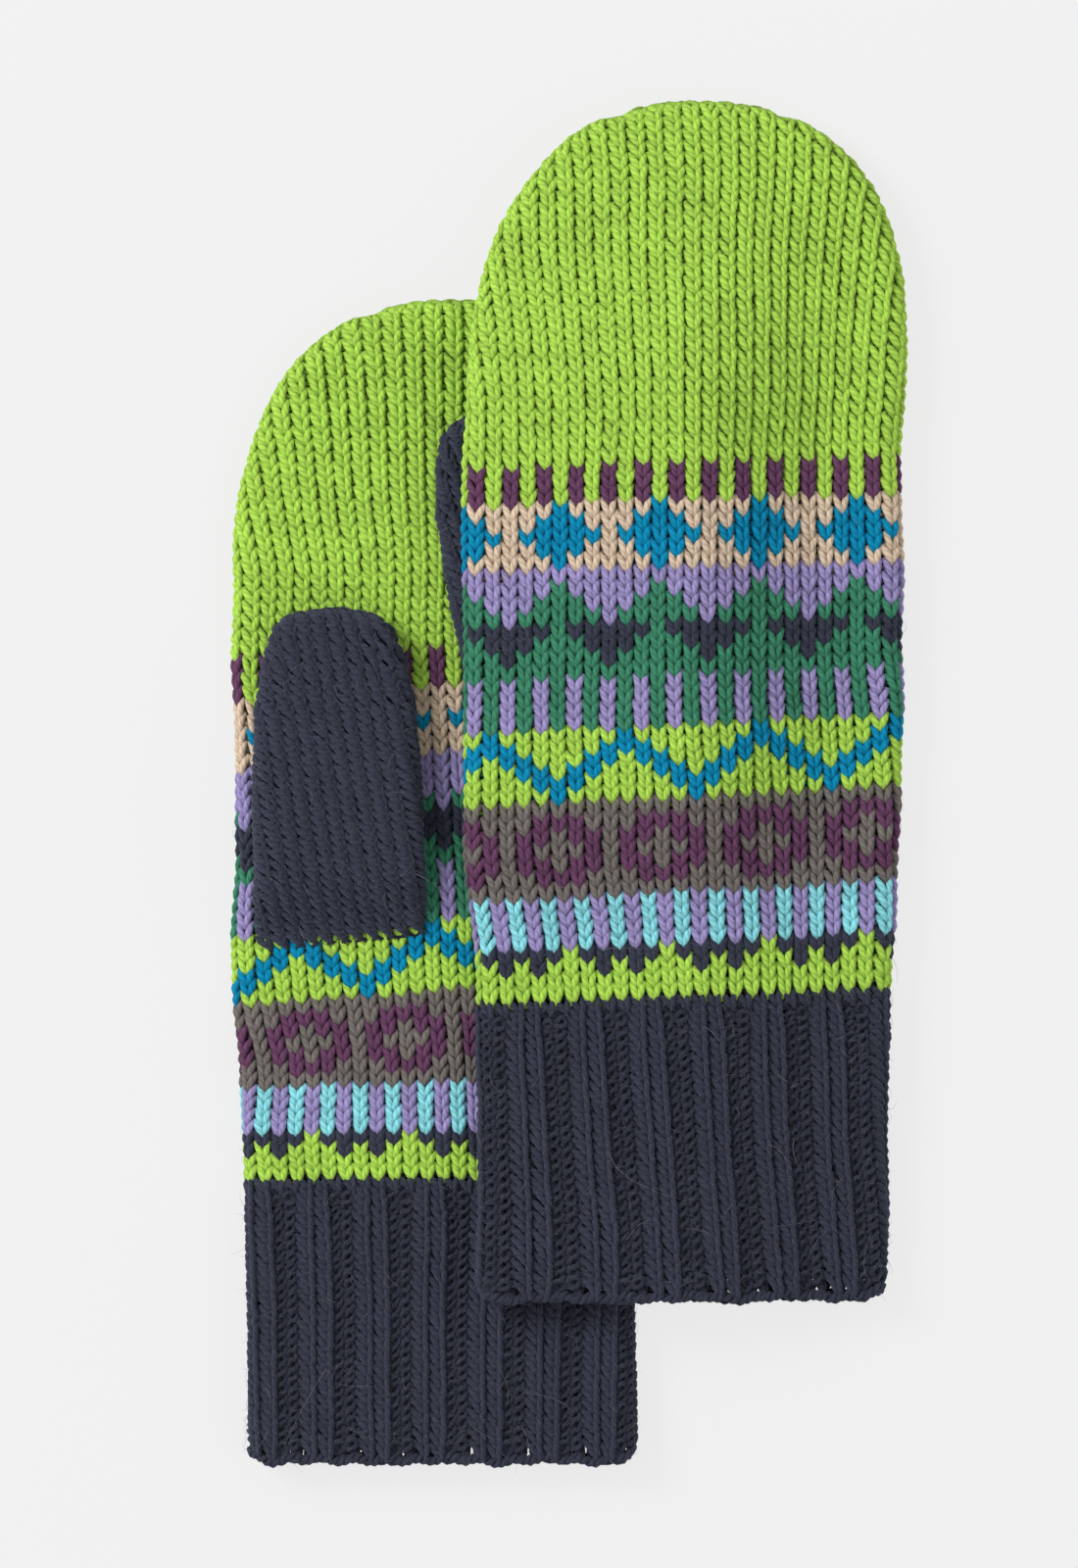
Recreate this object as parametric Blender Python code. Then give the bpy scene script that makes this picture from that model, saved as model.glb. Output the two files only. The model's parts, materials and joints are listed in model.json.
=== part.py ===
"""A pair of hand-knitted stranded mittens, lying flat with the right one across the left.

The left mitten lies palm up on the ground plane. The right mitten lies back up, partly on
the left one: it bulges over its own thumb, which is tucked under its palm, and sags to the
ground at its free side. +Y runs from cuff to fingertips and +Z is up. Each mitten is a
flattened tube of knitting, split where the knitter changed yarns. All sizes are in metres.
"""
import math

import bmesh
import bpy

# Knitted fabric and the flattened tube it makes.
HALF_THICK = 0.0048
WALL = 0.0024
GAP = 0.0003
SEAM = 0.00015
HALF_WIDTH = 0.0500
DOME_LENGTH = 0.0600
DOME_POWER = 2.2
DOME_ROUND = 2.3
TIP_HALF_WIDTH = 0.0100

# Thumb tubes.
THUMB_HALF_THICK = 0.0042
THUMB_WALL = 0.0019
THUMB_HALF_WIDTH = 0.0200
THUMB_DOME = 0.0240
THUMB_TIP_HALF_WIDTH = 0.0050
THUMB_SLOT_START = 0.0022
THUMB_SLOT_LENGTH = 0.0070

# Cross-section points: flat runs as fractions of the flat half width, then round edges.
HAND_FLATS = (-1.0, -0.87, -0.58, -0.29, 0.0, 0.2, 0.4, 0.6, 0.8, 1.0)
THUMB_FLATS = (-1.0, -0.82, -0.41, 0.0, 0.41, 0.82, 1.0)
EDGE_STEPS = 4
SLOT_FLATS = (1, 3)
THUMB_SLOT_FLATS = (1, 5)

# Where each yarn band ends, from the cast-on edge up to the fingertips.
BANDS = ("cuff_edge", "cuff_rib", "wave_band", "turquoise_bars", "medallion_band",
         "zigzag_band", "green_bars", "navy_peaks", "lilac_scallops", "diamond_band",
         "plum_bars", "finger_band", "crown")
LEFT_ENDS = (-0.1552, -0.1522, -0.0897, -0.0790, -0.0683, -0.0481, -0.0328, -0.0202,
             -0.0077, 0.0048, 0.0205, 0.0299, 0.0530, 0.1101)
RIGHT_ENDS = (-0.1181, -0.1151, -0.0479, -0.0359, -0.0243, -0.0030, 0.0134, 0.0248,
              0.0370, 0.0492, 0.0643, 0.0728, 0.0980, 0.1552)
STATION_STEP = 0.0085

# Centre lines: the hand's, the cuff's, and how far the right fingertips lean.
LEFT_HAND_X = -0.0266
LEFT_CUFF_X = -0.0293
LEFT_CUFF_HALF = 0.0447
RIGHT_HAND_X = 0.0256
RIGHT_CUFF_HALF = 0.0468
RIGHT_LEAN = 0.0030

# Thumb places: the middle of each thumb's base, and the right one's swing at rest.
LEFT_THUMB_BASE = (-0.0529, -0.0326)
LEFT_THUMB_LENGTH = 0.0727
RIGHT_THUMB_BASE = (-0.0021, 0.0152)
RIGHT_THUMB_LENGTH = 0.0720
RIGHT_THUMB_SWING = math.radians(12.0)

# How the right mitten drapes: ground clearance, the left mitten under it, its own thumb.
DRAPE_GROUND = 0.0001
DRAPE_ON_LEFT = 0.0098
DRAPE_ON_THUMB = 0.0087

# Yarn colours, linear.
YARNS = {
    "navy": (0.030, 0.032, 0.048),
    "lime": (0.300, 0.480, 0.065),
    "turquoise": (0.300, 0.620, 0.650),
    "grey": (0.120, 0.110, 0.108),
    "blue": (0.005, 0.200, 0.360),
    "green": (0.030, 0.150, 0.100),
    "lilac": (0.310, 0.240, 0.440),
    "beige": (0.500, 0.400, 0.300),
    "plum": (0.080, 0.030, 0.062),
}
BAND_YARN = {
    "cuff_edge": "navy", "cuff_rib": "navy", "wave_band": "lime",
    "turquoise_bars": "turquoise", "medallion_band": "grey", "zigzag_band": "blue",
    "green_bars": "green", "navy_peaks": "navy", "lilac_scallops": "lilac",
    "diamond_band": "beige", "plum_bars": "plum", "finger_band": "lime", "crown": "lime",
}


def clear_scene():
    for obj in list(bpy.data.objects):
        bpy.data.objects.remove(obj, do_unlink=True)


def yarn_material(name):
    existing = bpy.data.materials.get("yarn_" + name)
    if existing:
        return existing
    material = bpy.data.materials.new("yarn_" + name)
    material.use_nodes = True
    shader = material.node_tree.nodes["Principled BSDF"]
    shader.inputs["Base Color"].default_value = (*YARNS[name], 1.0)
    shader.inputs["Roughness"].default_value = 0.9
    return material


def smooth(t):
    t = min(max(t, 0.0), 1.0)
    return t * t * (3.0 - 2.0 * t)


def fall(value, start, end):
    """1 before start, 0 after end, smooth between."""
    return 1.0 - smooth((value - start) / (end - start))


def dome(distance, length):
    """Share of the full width at a distance back from the rounded tip."""
    t = min(max(distance / length, 0.0), 1.0)
    return (1.0 - (1.0 - t) ** DOME_POWER) ** (1.0 / DOME_ROUND)


def cuff_blend(y, cuff_top):
    """1 in the cuff, 0 well up the hand."""
    return fall(y, cuff_top, cuff_top + 0.045)


def left_outline(y):
    """Centre x and half width of the left mitten."""
    cuff = cuff_blend(y, LEFT_ENDS[2])
    centre = LEFT_HAND_X + (LEFT_CUFF_X - LEFT_HAND_X) * cuff
    half = HALF_WIDTH + (LEFT_CUFF_HALF - HALF_WIDTH) * cuff
    return centre, half


def right_outline(y):
    """Centre x and half width of the right mitten."""
    cuff = cuff_blend(y, RIGHT_ENDS[2])
    centre = RIGHT_HAND_X + RIGHT_LEAN * smooth((y - 0.060) / 0.095)
    half = HALF_WIDTH + (RIGHT_CUFF_HALF - HALF_WIDTH) * cuff
    return centre, half


def left_drape(x, y):
    return 0.0


def right_drape(x, y):
    """Height of the right mitten's underside."""
    on_left = fall(x, 0.024, 0.066) * fall(y, 0.106, 0.168)
    on_thumb = fall(x, 0.021, 0.066) * fall(y, 0.088, 0.126) * fall(-y, -0.004, 0.036)
    return DRAPE_GROUND + DRAPE_ON_LEFT * on_left + DRAPE_ON_THUMB * on_thumb


def section(half, thick, flats):
    """Points of a flattened round-edged tube: lower side, right edge, upper side, left edge."""
    flat = half - thick
    points = [(flat * f, -thick) for f in flats]
    for step in range(1, EDGE_STEPS):
        angle = -math.pi / 2 + math.pi * step / EDGE_STEPS
        points.append((flat + thick * math.cos(angle), thick * math.sin(angle)))
    points += [(flat * f, thick) for f in reversed(flats)]
    for step in range(1, EDGE_STEPS):
        angle = math.pi / 2 + math.pi * step / EDGE_STEPS
        points.append((-flat + thick * math.cos(angle), thick * math.sin(angle)))
    return points


def tip_taper(y, tip, thick):
    """Share of the full thickness close to the tip."""
    t = min(max((y - (tip - thick)) / thick, 0.0), 1.0)
    return math.sqrt(max(1.0 - t * t, 0.0))


def hand_ring(y, outline, drape, tip, inset):
    """One closed loop of points round a mitten at y, set in from the outer surface."""
    centre, half = outline(y)
    thick = HALF_THICK - inset
    share = dome(tip - inset - y, DOME_LENGTH)
    width = max((half - inset) * share, TIP_HALF_WIDTH - inset)
    taper = max(tip_taper(y, tip - inset, thick), 0.25)
    loop = []
    for x, z in section(width, thick * taper, HAND_FLATS):
        at = centre + x
        loop.append((at, y, drape(at, y) + HALF_THICK + z))
    return loop


def stations(start, end, step):
    count = max(1, math.ceil((end - start) / step - 1e-6))
    return [start + (end - start) * i / count for i in range(count + 1)]


def dome_stations(start, tip, thick):
    """Stations that crowd towards the rounded tip."""
    length = tip - start
    shares = (0.0, 0.14, 0.28, 0.42, 0.56, 0.68, 0.79, 0.875, 0.935, 0.972, 0.992, 1.0)
    return [start + length * s for s in shares]


def add_loops(mesh, loops):
    return [[mesh.verts.new(p) for p in loop] for loop in loops]


def skin(mesh, rows, outward, hole=None):
    """Quads between successive loops, leaving out any in the hole."""
    count = len(rows[0])
    for r in range(len(rows) - 1):
        for i in range(count):
            if hole and hole[0][0] <= r < hole[0][1] and hole[1][0] <= i < hole[1][1]:
                continue
            j = (i + 1) % count
            quad = [rows[r][i], rows[r][j], rows[r + 1][j], rows[r + 1][i]]
            mesh.faces.new(quad if outward else quad[::-1])


def lip(mesh, outer, inner):
    """The fabric's cut edge between an outer and an inner loop."""
    count = len(outer)
    for i in range(count):
        j = (i + 1) % count
        mesh.faces.new([outer[j], outer[i], inner[i], inner[j]])


def cap(mesh, loop):
    """Close a loop with a fan round its middle."""
    centre = [sum(v.co[k] for v in loop) / len(loop) for k in range(3)]
    middle = mesh.verts.new(centre)
    for i in range(len(loop)):
        mesh.faces.new([loop[i], loop[(i + 1) % len(loop)], middle])


def slot_walls(mesh, outer, inner, hole):
    """Walls of a slot through both skins."""
    (r0, r1), (i0, i1) = hole
    path = [(r0, i) for i in range(i0, i1)]
    path += [(r, i1) for r in range(r0, r1)]
    path += [(r1, i) for i in range(i1, i0, -1)]
    path += [(r, i0) for r in range(r1, r0, -1)]
    for k, (r, i) in enumerate(path):
        s, j = path[(k + 1) % len(path)]
        mesh.faces.new([outer[r][i], outer[s][j], inner[s][j], inner[r][i]])


def finish(mesh, name, yarn):
    bmesh.ops.recalc_face_normals(mesh, faces=mesh.faces)
    bmesh.ops.triangulate(mesh, faces=mesh.faces)
    data = bpy.data.meshes.new(name)
    mesh.to_mesh(data)
    mesh.free()
    data.materials.append(yarn_material(yarn))
    obj = bpy.data.objects.new(name, data)
    bpy.context.scene.collection.objects.link(obj)
    return obj


def band(name, yarn, start, end, outline, drape, tip, hole_side=None, hole_span=None):
    """One yarn band: a ring of fabric, with the thumb slot where there is one."""
    ys = stations(start, end, STATION_STEP)
    hole = None
    if hole_side:
        ys = [start, hole_span[0], hole_span[1], end]
        first, last = SLOT_FLATS
        if hole_side == "upper":
            top = 2 * len(HAND_FLATS) + EDGE_STEPS - 2
            first, last = top - last, top - first
        hole = ((1, 2), (first, last))
    mesh = bmesh.new()
    outer = add_loops(mesh, [hand_ring(y, outline, drape, tip, 0.0) for y in ys])
    inner = add_loops(mesh, [hand_ring(y, outline, drape, tip, WALL) for y in ys])
    skin(mesh, outer, True, hole)
    skin(mesh, inner, False, hole)
    lip(mesh, outer[0], inner[0])
    lip(mesh, inner[-1], outer[-1])
    if hole:
        slot_walls(mesh, outer, inner, hole)
    return finish(mesh, name, yarn)


def crown(name, yarn, start, outline, drape, tip):
    """The closed fingertip end, a cup of fabric open towards the cuff."""
    mesh = bmesh.new()
    outer_ys = dome_stations(start, tip, HALF_THICK)
    inner_ys = dome_stations(start, tip - WALL, HALF_THICK)
    outer = add_loops(mesh, [hand_ring(y, outline, drape, tip, 0.0) for y in outer_ys])
    inner = add_loops(mesh, [hand_ring(y, outline, drape, tip, WALL) for y in inner_ys])
    skin(mesh, outer, True)
    skin(mesh, inner, False)
    lip(mesh, outer[0], inner[0])
    cap(mesh, outer[-1])
    cap(mesh, inner[-1])
    return finish(mesh, name, yarn)


def thumb_ring(along, length, base, swing, middle, inset):
    """One closed loop round a thumb, a distance along it from its base."""
    thick = THUMB_HALF_THICK - inset
    share = dome(length - inset - along, THUMB_DOME)
    width = max((THUMB_HALF_WIDTH - inset) * share, THUMB_TIP_HALF_WIDTH - inset)
    taper = max(tip_taper(along, length - inset, thick), 0.25)
    loop = []
    for x, z in section(width, thick * taper, THUMB_FLATS):
        at_x = base[0] + x * math.cos(swing) - along * math.sin(swing)
        at_y = base[1] + x * math.sin(swing) + along * math.cos(swing)
        loop.append((at_x, at_y, middle + z))
    return loop


def thumb(name, length, base, swing, middle, slot_side):
    """A closed thumb tube with a slot where the hand's palm opens into it."""
    slot_end = THUMB_SLOT_START + THUMB_SLOT_LENGTH
    rest = (0.45, 0.70, 0.82, 0.91, 0.965, 0.99, 1.0)
    outer_s = [0.0, THUMB_SLOT_START, slot_end] + [length * s for s in rest]
    inner_length = length - THUMB_WALL
    inner_s = [THUMB_WALL, THUMB_SLOT_START, slot_end] + [inner_length * s for s in rest]
    first, last = THUMB_SLOT_FLATS
    if slot_side == "upper":
        top = 2 * len(THUMB_FLATS) + EDGE_STEPS - 2
        first, last = top - last, top - first
    hole = ((1, 2), (first, last))
    mesh = bmesh.new()
    outer = add_loops(mesh, [thumb_ring(s, length, base, swing, middle, 0.0)
                             for s in outer_s])
    inner = add_loops(mesh, [thumb_ring(s, length, base, swing, middle, THUMB_WALL)
                             for s in inner_s])
    skin(mesh, outer, True, hole)
    skin(mesh, inner, False, hole)
    slot_walls(mesh, outer, inner, hole)
    for loop in (outer[0], outer[-1], inner[0], inner[-1]):
        cap(mesh, loop)
    return finish(mesh, name, "navy")


def mitten(side, ends, outline, drape, slot_side, thumb_base):
    """All the bands of one mitten, from the cast-on edge to the crown."""
    tip = ends[-1]
    slot = (thumb_base[1] + THUMB_SLOT_START, thumb_base[1] + THUMB_SLOT_START
            + THUMB_SLOT_LENGTH)
    for i, name in enumerate(BANDS):
        full = side + "_" + name
        start = ends[i] + (SEAM if i else 0.0)
        end = ends[i + 1] - SEAM
        yarn = BAND_YARN[name]
        if name == "crown":
            crown(full, yarn, start, outline, drape, tip)
        elif name == "green_bars":
            band(full, yarn, start, end, outline, drape, tip, slot_side, slot)
        else:
            band(full, yarn, start, end, outline, drape, tip)


clear_scene()
mitten("left", LEFT_ENDS, left_outline, left_drape, "upper", LEFT_THUMB_BASE)
mitten("right", RIGHT_ENDS, right_outline, right_drape, "lower", RIGHT_THUMB_BASE)
THUMB_MIDDLE = 2.0 * HALF_THICK + GAP + THUMB_HALF_THICK
thumb("left_thumb", LEFT_THUMB_LENGTH, LEFT_THUMB_BASE, 0.0, THUMB_MIDDLE, "lower")
thumb("right_thumb", RIGHT_THUMB_LENGTH, RIGHT_THUMB_BASE, RIGHT_THUMB_SWING,
      THUMB_MIDDLE, "upper")
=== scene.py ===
"""Looks for the pair of knitted mittens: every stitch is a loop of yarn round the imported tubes.

Each round of knitting is one closed ring of yarn for each colour in it. The ring makes a loop
where its colour is knitted and a float behind the fabric where the other colour is.
"""
import json
import math

import bpy
import numpy as np
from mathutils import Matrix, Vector


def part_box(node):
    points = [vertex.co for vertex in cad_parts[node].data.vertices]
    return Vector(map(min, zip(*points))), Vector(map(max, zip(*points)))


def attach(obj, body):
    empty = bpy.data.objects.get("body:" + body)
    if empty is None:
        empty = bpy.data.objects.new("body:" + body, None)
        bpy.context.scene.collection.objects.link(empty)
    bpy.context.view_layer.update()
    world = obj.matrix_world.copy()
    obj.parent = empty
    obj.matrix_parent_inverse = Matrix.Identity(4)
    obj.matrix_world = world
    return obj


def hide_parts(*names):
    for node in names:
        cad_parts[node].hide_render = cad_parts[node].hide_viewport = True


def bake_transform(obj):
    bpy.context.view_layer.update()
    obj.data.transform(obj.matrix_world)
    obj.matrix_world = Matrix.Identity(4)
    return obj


MM = 0.001
TAU = 2.0 * math.pi

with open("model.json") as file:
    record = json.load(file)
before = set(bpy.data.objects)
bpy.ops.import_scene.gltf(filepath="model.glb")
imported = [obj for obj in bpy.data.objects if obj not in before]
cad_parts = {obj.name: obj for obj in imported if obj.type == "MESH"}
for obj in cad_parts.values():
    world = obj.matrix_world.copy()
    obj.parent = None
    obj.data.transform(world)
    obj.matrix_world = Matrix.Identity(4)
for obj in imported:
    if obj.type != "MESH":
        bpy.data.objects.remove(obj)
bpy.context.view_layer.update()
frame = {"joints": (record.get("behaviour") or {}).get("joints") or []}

# ---------------------------------------------------------------- sizes, in millimetres
BANDS = ("cuff_edge", "cuff_rib", "wave_band", "turquoise_bars", "medallion_band", "zigzag_band",
         "green_bars", "navy_peaks", "lilac_scallops", "diamond_band", "plum_bars",
         "finger_band", "crown")
HALF_THICK = 4.8           # of a mitten lying flat
DOME_LENGTH = 60.0         # height over which the crown rounds in
DOME_POWER = 2.2
DOME_ROUND = 2.55
CLOSING = 1.7              # the dome never gets closer to its tip than this
CUFF_EASE = 45.0           # height over which the cuff widens into the hand
CUFF_CORNER = 7.0          # radius of the cuff's lower corners
YARN_INSET = 1.45          # from the outside of the fabric to the middle of its yarn
FLOAT_DEPTH = 1.6
FLOAT_RADIUS = 0.5
LINING_DEPTH = 1.5
LINING_THICK = 0.4
LINING_TURNS = 72
LINING_STEP = 2.0
CUFF_LINING_START = 2.2
CROWN_LINING_END = 3.6
CROWN_GAP = 1.6            # from the last round of the crown to the tip
THUMB_GAP = 1.5
TIP_ROUND = 2.0            # where the round that closes a tip lies below it
THUMB_LENGTHS = {"left": 72.7, "right": 72.0}
THUMB_BEND = 11.0          # length over which a thumb bends into the palm
RIGHT_SWING = 12.0         # degrees

# ---------------------------------------------------------------- counts
LOOP_STEPS = 16
FLOAT_STEPS = 3
YARN_SIDES = 8
HAND_STITCHES = 54
RIB_STITCHES = 56
RIB_ROWS = 28
THUMB_STITCHES = 22
THUMB_ROWS = 31
LOOP_DROP = 0.2            # share of a row by which loops hang below their round's middle

# ---------------------------------------------------------------- colours of the yarns, linear
YARNS = {
    "navy": (0.0305, 0.0335, 0.054),
    "lime": (0.355, 0.585, 0.076),
    "turquoise": (0.225, 0.605, 0.655),
    "grey": (0.150, 0.132, 0.122),
    "blue": (0.000, 0.215, 0.390),
    "green": (0.040, 0.200, 0.115),
    "lilac": (0.285, 0.240, 0.460),
    "beige": (0.590, 0.460, 0.340),
    "plum": (0.116, 0.043, 0.098),
}


# ---------------------------------------------------------------- small maths
def smooth(t):
    t = np.clip(t, 0.0, 1.0)
    return t * t * (3.0 - 2.0 * t)


def rise(value, start, end):
    return smooth((value - start) / (end - start))


def fall(value, start, end):
    return 1.0 - rise(value, start, end)


def dome(distance, length, power, roundness):
    t = np.clip(distance / length, 0.0, 1.0)
    return (1.0 - (1.0 - t) ** power) ** (1.0 / roundness)


class Noise:
    """Smooth value noise over a plane, repeatable from its seed."""

    def __init__(self, seed, cell):
        self.grid = np.random.default_rng(seed).uniform(-1.0, 1.0, (64, 64))
        self.cell = cell

    def __call__(self, x, y):
        gx, gy = np.asarray(x) / self.cell, np.asarray(y) / self.cell
        ix, iy = np.floor(gx).astype(int), np.floor(gy).astype(int)
        fx, fy = smooth(gx - ix), smooth(gy - iy)
        g = self.grid
        low = g[ix % 64, iy % 64] * (1 - fx) + g[(ix + 1) % 64, iy % 64] * fx
        high = g[ix % 64, (iy + 1) % 64] * (1 - fx) + g[(ix + 1) % 64, (iy + 1) % 64] * fx
        return low * (1 - fy) + high * fy


# ---------------------------------------------------------------- places from the frame
def box(node):
    low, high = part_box(node)
    return np.array(low) / MM, np.array(high) / MM


def band_ends(side):
    """Heights where the bands of a mitten start, from its cuff edge, and its fingertip."""
    return [box(f"{side}_{band}")[0][1] for band in BANDS] + [box(side + "_crown")[1][1]]


def hinge_place(joint_name):
    joint = next(j for j in frame["joints"] if j["name"] == joint_name)
    return [v / MM for v in joint["pos_m"]]


# ---------------------------------------------------------------- the flattened tubes
class Tube:
    """A flattened tube of knitting. A place on it is an arc from the middle of its upper face,
    a height up the tube, and a depth outward from the middle of the fabric. Its shape is given
    by functions of the height."""

    dome_length, dome_power, dome_round = DOME_LENGTH, DOME_POWER, DOME_ROUND

    def thick(self, y):
        return self.half_thick + 0.0 * y

    def spread(self, y):
        """How much wider than average the columns are on the upper face."""
        return 0.0 * y

    def lean(self, y):
        """How far the columns have drifted round the tube."""
        return 0.0 * y

    def settle(self, x, y):
        """How far the rows rise above their nominal height."""
        return 0.0 * y

    def sway(self, x, y):
        """How far a place is moved sideways."""
        return 0.0 * y

    def place(self, points, outward):
        return points, outward

    def middle(self, y):
        """Flat half width and edge radius of the middle of the fabric."""
        tip = self.tip - YARN_INSET
        room = self.thick(y) - YARN_INSET
        near_tip = np.clip((y - (tip - room)) / room, 0.0, 1.0)
        taper = np.sqrt(np.maximum(1.0 - near_tip ** 2, 0.06))
        radius = room * taper
        below = np.maximum(tip - y, CLOSING)
        closing = dome(below, self.dome_length, self.dome_power, self.dome_round)
        half = (self.half(y) - YARN_INSET) * closing
        return np.maximum(half - radius, 0.3), radius

    def half_round(self, y):
        flat, radius = self.middle(y)
        return 2.0 * flat + math.pi * radius

    def at(self, arc, y, depth):
        """World positions and outward directions, in millimetres."""
        flat, radius = self.middle(y)
        half_round = 2.0 * flat + math.pi * radius
        arc = (arc + half_round) % (2.0 * half_round) - half_round
        side = np.where(arc < 0.0, -1.0, 1.0)
        along = np.abs(arc)
        turn = np.clip((along - flat) / radius, 0.0, math.pi)
        past = np.maximum(along - flat - math.pi * radius, 0.0)
        nx, nz = side * np.sin(turn), np.cos(turn)
        x = side * (np.minimum(along, flat) - past) + radius * nx + nx * depth
        z = self.thick(y) + radius * nz + nz * depth
        points = np.stack([self.centre(y) + x + self.sway(x, y), y + self.settle(x, y), z],
                          axis=-1)
        outward = np.stack([nx, np.zeros_like(nx), nz], axis=-1)
        return self.place(points, outward)


class Mitten(Tube):
    """The hand and cuff of one mitten."""

    def __init__(self, side, seed):
        self.side = side
        self.ends = band_ends(side)
        self.tip = self.ends[-1]
        self.cuff_top = self.ends[2]
        hand_low, hand_high = box(side + "_green_bars")
        cuff_low, cuff_high = box(side + "_cuff_edge")
        self.half_thick = HALF_THICK
        self.hand_half = (hand_high[0] - hand_low[0]) / 2.0
        self.cuff_half = (cuff_high[0] - cuff_low[0]) / 2.0
        self.hand_x = (hand_high[0] + hand_low[0]) / 2.0
        self.cuff_x = (cuff_high[0] + cuff_low[0]) / 2.0
        middle = (self.ends[6] + self.ends[7]) / 2.0
        self.pitch = self.half_round(np.array(middle)) / (HAND_STITCHES / 2.0)
        self.wander = Noise(seed, 17.0)
        self.ripple = Noise(seed + 1, 13.0)
        self.outline = Noise(seed + 2, 15.0)

    def cuff(self, y):
        return fall(y, self.cuff_top, self.cuff_top + CUFF_EASE)

    def half(self, y):
        return self.hand_half + (self.cuff_half - self.hand_half) * self.cuff(y)

    def centre(self, y):
        return self.hand_x + (self.cuff_x - self.hand_x) * self.cuff(y)

    def sway(self, x, y):
        """Columns that wander slightly, and a wavy outline."""
        waver = 0.55 * self.outline(30.0 * np.sign(x) + 40.0, y) * np.abs(x) / self.hand_half
        return waver + 0.35 * self.wander(x, y)

    def corner_rise(self, x, y):
        reach = self.cuff_half - CUFF_CORNER
        past = np.clip((np.abs(x) - reach) / (CUFF_CORNER + 0.6), 0.0, 0.98)
        curl = CUFF_CORNER * (1.0 - np.sqrt(1.0 - past ** 2))
        return curl * fall(y, self.ends[0], self.ends[0] + 14.0)

    def settle(self, x, y):
        level = self.lift(y) + self.tilt(y) * x + 0.45 * self.ripple(x, y)
        arch = -2.3 * (x / 16.5) ** 2 * rise(y, self.tip - 5.5, self.tip - 1.0)
        edge = self.ends[0]
        inside = level * fall(y, self.tip - 14.0, self.tip) * rise(y, edge, edge + 8.0)
        scallop = (0.25 * np.sin(x / 4.1 + 1.7) - 0.7) * fall(y, edge, edge + 6.0)
        return arch + inside + scallop + self.corner_rise(x, y)


class LeftMitten(Mitten):
    def lift(self, y):
        return 3.1 * rise(y, -95.0, -5.0) * fall(y, -5.0, 60.0)

    def tilt(self, y):
        return 0.11 * rise(y, -95.0, -20.0) * fall(y, 5.0, 60.0)

    def spread(self, y):
        return 0.015 + 0.085 * fall(y, -84.0, -60.0) + 0.0045 * np.maximum(y - 48.0, 0.0)

    def lean(self, y):
        return 1.0 + 5.4 * fall(y, -90.0, -38.0) - 2.7 * rise(y, -38.0, 32.0)

    def rib_lean(self, y, u):
        up = (y - self.ends[1]) / (self.ends[2] - self.ends[1])
        return -2.1 + 0.11 * (up - 0.5) * u


class RightMitten(Mitten):
    """Lies over the left mitten and over its own thumb, and sags to the ground beside them."""

    def centre(self, y):
        return super().centre(y) + 3.0 * smooth((y - 60.0) / 95.0) + 1.0 * rise(y, 118.0, 142.0)

    def sway(self, x, y):
        baggy = 1.2 * rise(y, -75.0, -45.0) * fall(y, -40.0, -15.0)
        return super().sway(x, y) + baggy * np.clip(x / self.hand_half, 0.0, 1.0)

    def lift(self, y):
        return 0.0 * y

    def tilt(self, y):
        slope = 0.033 + 0.020 * fall(y, 10.0, 40.0) * rise(y, -60.0, -35.0)
        return slope * fall(y, 90.0, 155.0)

    def spread(self, y):
        return 0.045 * fall(y, -20.0, 45.0) + 0.15 * rise(y, 75.0, 160.0)

    def lean(self, y):
        return 2.6 * fall(y, -65.0, 40.0) + 0.35 * rise(y, 45.0, 57.0) - 4.3 * rise(y, 72.0, 162.0)

    def rib_lean(self, y, u):
        down = (self.ends[2] - y) / (self.ends[2] - self.ends[1])
        return -8.3 + 4.4 * down * smooth((u + 14.0) / 12.0)

    def place(self, points, outward):
        x, y = points[..., 0], points[..., 1]
        on_left = fall(x, 24.0, 66.0) * fall(y, 106.0, 168.0)
        on_thumb = fall(x, 21.0, 66.0) * fall(y, 88.0, 126.0) * fall(-y, -4.0, 36.0)
        lifted = points.copy()
        lifted[..., 2] += 0.1 + 9.8 * on_left + 8.7 * on_thumb
        return lifted, outward


class Thumb(Tube):
    """A thumb, flat against the palm. Near its hole it thins down and runs into the palm."""

    dome_length, dome_power, dome_round = 23.0, 1.05, 5.4

    def __init__(self, side, hinge, length, swing, lean_down, under):
        low, high = box(side + "_thumb")
        self.base, self.tip, self.swing = hinge, length, swing
        self.floor = low[2]
        self.half_thick = (high[2] - low[2]) / 2.0
        self.lean_down, self.under = lean_down, under

    def thick(self, y):
        return self.half_thick * (1.0 - 0.36 * fall(y, 0.0, 15.0))

    def half(self, y):
        return 19.5 - 1.2 * rise(y, 20.0, 60.0)

    def centre(self, y):
        return self.lean_down * (1.0 - y / 36.0)

    def lean(self, y):
        return 5.0 - 10.0 * y / self.tip

    def settle(self, x, y):
        arch = -2.0 * (x / 11.0) ** 2 * rise(y, self.tip - 5.0, self.tip - 1.0)
        return arch + (0.06 + 0.05 * fall(y, 0.0, 20.0)) * x * fall(y, 40.0, 68.0)

    def place(self, points, outward):
        x, y, z = points[..., 0], points[..., 1], points[..., 2]
        nx, ny, nz = outward[..., 0], outward[..., 1], outward[..., 2]
        z = z - 4.7 * fall(y, -6.0, 12.0)
        if self.under:
            x, z, nx, nz = -x, 2.0 * self.half_thick - z, -nx, -nz
        cos, sin = math.cos(self.swing), math.sin(self.swing)
        moved = np.stack([self.base[0] + x * cos - y * sin, self.base[1] + x * sin + y * cos,
                          z + self.floor], axis=-1)
        return moved, np.stack([nx * cos - ny * sin, nx * sin + ny * cos, nz], axis=-1)


# ---------------------------------------------------------------- colourwork charts
def near(column, period):
    """Distance of a column from the middle of its repeat."""
    c = column % period
    return min(c, period - c)


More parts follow.
